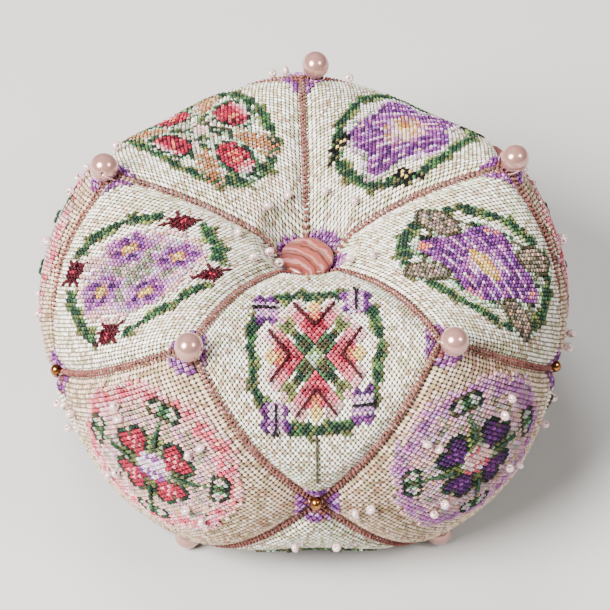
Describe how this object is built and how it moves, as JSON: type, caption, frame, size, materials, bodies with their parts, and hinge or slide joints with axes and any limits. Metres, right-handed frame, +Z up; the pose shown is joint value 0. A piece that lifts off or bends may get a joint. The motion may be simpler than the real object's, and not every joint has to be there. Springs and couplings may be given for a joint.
{
  "type": "biscornu",
  "caption": "Stuffed embroidered ball of cream cloth squares sewn edge to edge, drawn in under a button above and below, with pearls sewn on at its corners.",
  "frame": {"origin": "centre of the bounding box's bottom face, on the surface that the ball stands on", "axes": "+Z up through both buttons, -Y towards the front square, the one below which a gold bead faces the viewer, +X to the viewer's right"},
  "size_m": [0.1124, 0.1118, 0.0649],
  "materials": {
    "cloth": "cream evenweave with cotton embroidery thread, matte",
    "pearl": "pink imitation pearl, glossy",
    "gold_bead": "old gold, polished",
    "button": "salmon pink, glossy"
  },
  "bodies": {
    "root": {"filled_ball": "cloth", "top_button": "button", "bottom_button": "button", "upper_pearl_1": "pearl", "upper_pearl_2": "pearl", "upper_pearl_3": "pearl", "upper_pearl_4": "pearl", "upper_pearl_5": "pearl", "lower_pearl_1": "pearl", "lower_pearl_2": "pearl", "lower_pearl_3": "pearl", "lower_pearl_4": "pearl", "lower_pearl_5": "pearl", "gold_bead_1": "gold_bead", "gold_bead_2": "gold_bead", "gold_bead_3": "gold_bead", "gold_bead_4": "gold_bead", "gold_bead_5": "gold_bead"}
  },
  "joints": []
}
